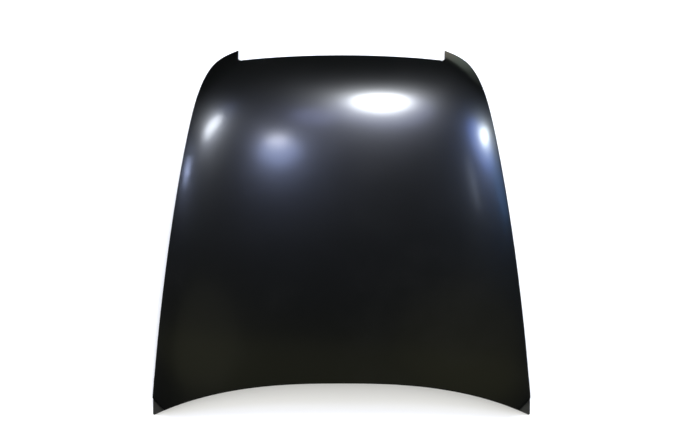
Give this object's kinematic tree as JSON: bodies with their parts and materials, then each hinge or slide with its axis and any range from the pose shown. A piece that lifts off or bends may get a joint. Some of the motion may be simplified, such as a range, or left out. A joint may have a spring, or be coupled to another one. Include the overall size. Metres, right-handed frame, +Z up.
{
  "type": "car bonnet",
  "caption": "Black primed car bonnet: crowned outer skin hemmed round a pressed inner frame with windows, hinge pads and a striker, lying crown up.",
  "frame": {"origin": "middle of the bounding box's base, where the panel's rear corner tabs and ear tips rest", "axes": "+Z up out of the crown, +Y toward the nose, X across the car, +X the driver's right seen from the rear edge"},
  "size_m": [1.4, 1.4071, 0.197],
  "materials": {
    "black_primer": "satin black electrocoat primer",
    "plated_steel": "zinc plated",
    "mastic": "matt grey anti-flutter mastic"
  },
  "bodies": {
    "root": {"outer_skin": "black_primer", "inner_frame": "black_primer", "hinge_reinforcement_left": "black_primer", "hinge_reinforcement_right": "black_primer", "hinge_nut_left_front": "black_primer", "hinge_nut_left_rear": "black_primer", "hinge_nut_right_front": "black_primer", "hinge_nut_right_rear": "black_primer", "latch_reinforcement": "black_primer", "latch_nut_left": "plated_steel", "latch_nut_right": "plated_steel", "striker_plate": "plated_steel", "striker_loop": "plated_steel", "striker_bolt_left": "plated_steel", "striker_bolt_right": "plated_steel", "prop_rod_reinforcement": "black_primer", "mastic_1_left": "mastic", "mastic_1_right": "mastic", "mastic_2_left": "mastic", "mastic_2_right": "mastic", "mastic_3_left": "mastic", "mastic_3_right": "mastic", "mastic_4_left": "mastic", "mastic_4_right": "mastic", "mastic_5_left": "mastic", "mastic_5_right": "mastic", "mastic_6_left": "mastic", "mastic_6_right": "mastic", "mastic_7_left": "mastic", "mastic_7_right": "mastic", "mastic_8_left": "mastic", "mastic_8_right": "mastic"}
  },
  "joints": []
}
